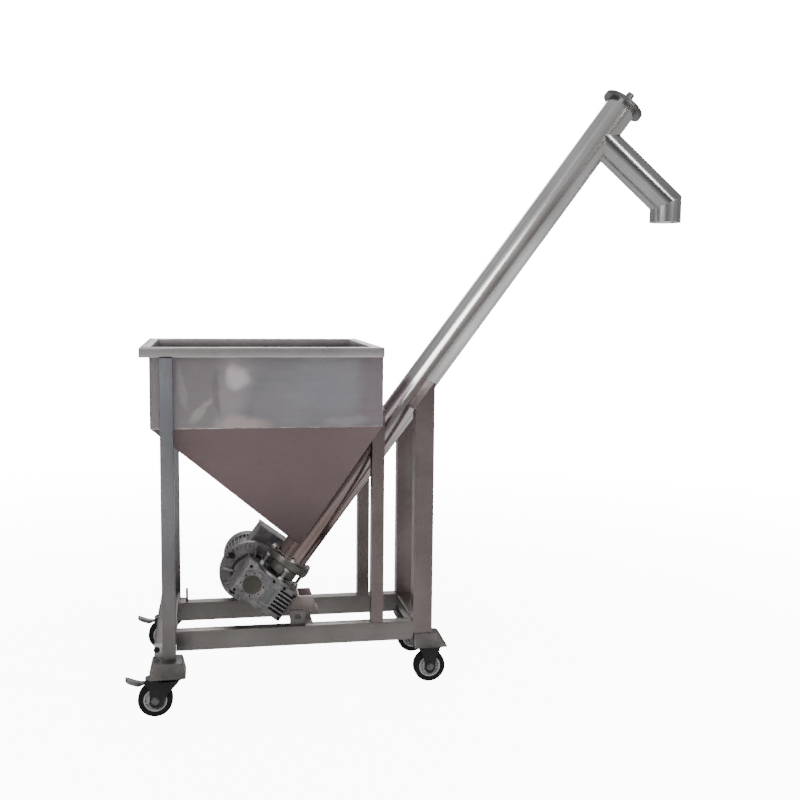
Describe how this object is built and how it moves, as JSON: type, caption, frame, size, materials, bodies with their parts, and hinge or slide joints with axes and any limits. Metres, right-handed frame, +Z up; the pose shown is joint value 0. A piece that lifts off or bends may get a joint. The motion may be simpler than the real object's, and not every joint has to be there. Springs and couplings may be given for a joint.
{
  "type": "inclined screw conveyor",
  "caption": "Mobile feed bin on a castored tube frame with a leaning screw tube, worm gear motor at its foot and an elbowed discharge spout at its head.",
  "frame": {"origin": "on the floor, on the centre plane of bin and screw tube, midway between the swivel axes of the left castors and the axles of the right castors", "axes": "+X towards the discharge spout, +Y towards the motor, +Z up"},
  "size_m": [1.7906, 0.692, 1.8861],
  "materials": {
    "bin_steel": "satin, cloudy ground finish",
    "frame_steel": "satin",
    "tube_steel": "satin, brighter streaks",
    "dark_steel": "machined",
    "cast_aluminium": "cast, matt",
    "cap_plastic": "matt",
    "cover_paint": "satin grey",
    "bronze": "machined",
    "tyre_rubber": "matt",
    "wheel_hub": "matt grey",
    "fork_black": "satin black",
    "pedal_zinc": "zinc plated"
  },
  "bodies": {
    "frame": {"base_rail_front": "frame_steel", "base_rail_rear": "frame_steel", "cross_rail_left": "frame_steel", "cross_rail_mid": "frame_steel", "cross_rail_right": "frame_steel", "leg_front_left": "frame_steel", "leg_rear_left": "frame_steel", "leg_front_right": "frame_steel", "leg_rear_right": "frame_steel", "post_front": "frame_steel", "post_rear": "frame_steel", "foot_front_left": "frame_steel", "foot_rear_left": "frame_steel", "foot_front_right": "frame_steel", "foot_rear_right": "frame_steel", "hopper_box": "bin_steel", "hopper_cone": "bin_steel", "hopper_rim": "bin_steel", "auger_tube": "tube_steel", "tube_flange_bottom": "dark_steel", "tube_flange_top": "tube_steel", "end_cover": "tube_steel", "top_bearing": "dark_steel", "discharge_spout": "tube_steel", "wing_front": "frame_steel", "wing_rear": "frame_steel", "drive_flange": "dark_steel", "lantern_studs": "dark_steel", "gearbox_housing": "cast_aluminium", "gearbox_cover": "cast_aluminium", "worm_end_cap": "cap_plastic", "pedestal": "frame_steel", "lug_front": "frame_steel", "lug_rear": "frame_steel", "terminal_box": "cast_aluminium", "cable_gland": "cap_plastic", "motor_flange": "cast_aluminium", "motor_frame": "cast_aluminium", "motor_end_shield": "cast_aluminium", "fan_cover": "cover_paint", "fork_front_right": "fork_black", "fork_rear_right": "fork_black"},
    "screw": {"screw_shaft": "tube_steel", "screw_flight": "tube_steel", "worm_wheel": "bronze"},
    "rotor": {"rotor_shaft": "dark_steel", "rotor_core": "dark_steel", "fan": "cap_plastic"},
    "swivel_front": {"fork_front_left": "fork_black"},
    "swivel_rear": {"fork_rear_left": "fork_black"},
    "wheel_front_left": {"tyre_front_left": "tyre_rubber", "hub_front_left": "wheel_hub"},
    "wheel_rear_left": {"tyre_rear_left": "tyre_rubber", "hub_rear_left": "wheel_hub"},
    "wheel_front_right": {"tyre_front_right": "tyre_rubber", "hub_front_right": "wheel_hub"},
    "wheel_rear_right": {"tyre_rear_right": "tyre_rubber", "hub_rear_right": "wheel_hub"},
    "brake_front": {"pedal_front_left": "pedal_zinc"},
    "brake_rear": {"pedal_rear_left": "pedal_zinc"}
  },
  "joints": [
    {"name": "screw_spin", "type": "hinge", "parent": "frame", "child": "screw", "pos_m": [-0.023, 0, 0.377], "axis": [0.5938, 0, 0.8046], "continuous": true},
    {"name": "rotor_spin", "type": "hinge", "parent": "frame", "child": "rotor", "pos_m": [-0.1497, 0.2, 0.31143], "axis": [0, 1, 0], "continuous": true},
    {"name": "front_castor_swivel", "type": "hinge", "parent": "frame", "child": "swivel_front", "pos_m": [-0.4025, -0.292, 0.118], "axis": [0, 0, 1], "continuous": true},
    {"name": "front_left_wheel_roll", "type": "hinge", "parent": "swivel_front", "child": "wheel_front_left", "pos_m": [-0.4375, -0.292, 0.05], "axis": [0, 1, 0], "continuous": true},
    {"name": "front_brake_pedal", "type": "hinge", "parent": "swivel_front", "child": "brake_front", "pos_m": [-0.4585, -0.292, 0.106], "axis": [0, -1, 0], "range_deg": [0, 18]},
    {"name": "front_right_wheel_roll", "type": "hinge", "parent": "frame", "child": "wheel_front_right", "pos_m": [0.4025, -0.141, 0.05], "axis": [0, 1, 0], "continuous": true},
    {"name": "rear_castor_swivel", "type": "hinge", "parent": "frame", "child": "swivel_rear", "pos_m": [-0.4025, 0.292, 0.118], "axis": [0, 0, 1], "continuous": true},
    {"name": "rear_left_wheel_roll", "type": "hinge", "parent": "swivel_rear", "child": "wheel_rear_left", "pos_m": [-0.4375, 0.292, 0.05], "axis": [0, 1, 0], "continuous": true},
    {"name": "rear_brake_pedal", "type": "hinge", "parent": "swivel_rear", "child": "brake_rear", "pos_m": [-0.4585, 0.292, 0.106], "axis": [0, -1, 0], "range_deg": [0, 18]},
    {"name": "rear_right_wheel_roll", "type": "hinge", "parent": "frame", "child": "wheel_rear_right", "pos_m": [0.4025, 0.141, 0.05], "axis": [0, 1, 0], "continuous": true}
  ],
  "couplings": [
    {"joint": "rotor_spin", "follows": "screw_spin", "ratio": 15}
  ]
}
